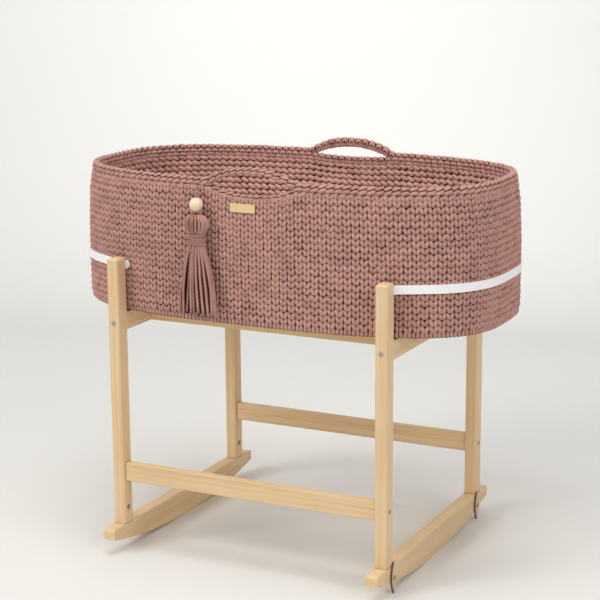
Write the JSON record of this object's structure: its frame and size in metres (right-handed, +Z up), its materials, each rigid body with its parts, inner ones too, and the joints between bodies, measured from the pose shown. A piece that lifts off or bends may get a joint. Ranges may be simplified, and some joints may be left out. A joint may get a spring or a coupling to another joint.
{
  "type": "bassinet on stand",
  "caption": "Oval crocheted bassinet basket with arched handles, tassel and mattress, held by webbing straps on a beech rocking stand with swivel stoppers.",
  "frame": {"origin": "floor level under the middle of the stand, the bottom centre of the bounding box", "axes": "+X along the basket, +Y to the rear, +Z up"},
  "size_m": [0.8548, 0.56, 0.7645],
  "materials": {
    "beech": "clear matt lacquer",
    "birch_ply": "raw, laser cut",
    "bead_wood": "raw",
    "rose_cord": "crocheted cotton cord",
    "webbing": "smooth satin webbing",
    "mattress_cover": "woven cotton",
    "zinc_steel": "zinc plated",
    "dark_steel": "dark",
    "brass": "brushed"
  },
  "bodies": {
    "stand": {"post_front_left": "beech", "post_front_right": "beech", "post_rear_left": "beech", "post_rear_right": "beech", "rocker_left": "beech", "rocker_right": "beech", "stretcher_front": "beech", "stretcher_rear": "beech", "cross_rail_left": "beech", "cross_rail_right": "beech", "support_rail_front": "beech", "support_rail_rear": "beech", "rocker_bolts": "zinc_steel", "barrel_nuts": "zinc_steel", "cross_rail_screws": "zinc_steel", "stretcher_screws": "dark_steel", "support_rail_screws": "dark_steel", "rail_dowels": "birch_ply", "stretcher_dowels": "birch_ply", "strap_left": "webbing", "strap_right": "webbing", "strap_screws": "zinc_steel", "stopper_screws": "zinc_steel"},
    "stopper_front": {"stopper_front": "birch_ply"},
    "stopper_rear": {"stopper_rear": "birch_ply"},
    "basket": {"base_board": "birch_ply", "basket_wall": "rose_cord", "rim_band": "rose_cord", "tag_plate": "brass", "tag_rivets": "brass"},
    "mattress": {"mattress": "mattress_cover"},
    "tassel_hanger": {"tassel_loop": "rose_cord", "tassel_bead": "bead_wood"},
    "tassel": {"tassel_head": "rose_cord", "tassel_band": "rose_cord", "tassel_skirt": "rose_cord"}
  },
  "joints": [
    {"name": "stopper_front_turn", "type": "hinge", "parent": "stand", "child": "stopper_front", "pos_m": [0.2897, -0.214, 0.0295], "axis": [1, 0, 0], "range_deg": [-90, 90]},
    {"name": "stopper_rear_turn", "type": "hinge", "parent": "stand", "child": "stopper_rear", "pos_m": [0.2897, 0.214, 0.0295], "axis": [1, 0, 0], "range_deg": [-90, 90]},
    {"name": "basket_lift", "type": "slide", "parent": "stand", "child": "basket", "axis": [0, 0, 1], "range_m": [0, 0.25]},
    {"name": "mattress_lift", "type": "slide", "parent": "basket", "child": "mattress", "axis": [0, 0, 1], "range_m": [0, 0.3]},
    {"name": "tassel_sway", "type": "hinge", "parent": "basket", "child": "tassel_hanger", "pos_m": [-0.087, -0.2479, 0.712], "axis": [0, 1, 0], "range_deg": [-60, 35]},
    {"name": "tassel_tip", "type": "hinge", "parent": "tassel_hanger", "child": "tassel", "pos_m": [-0.087, -0.2479, 0.6795], "axis": [1, 0, 0], "range_deg": [-45, 0]}
  ]
}
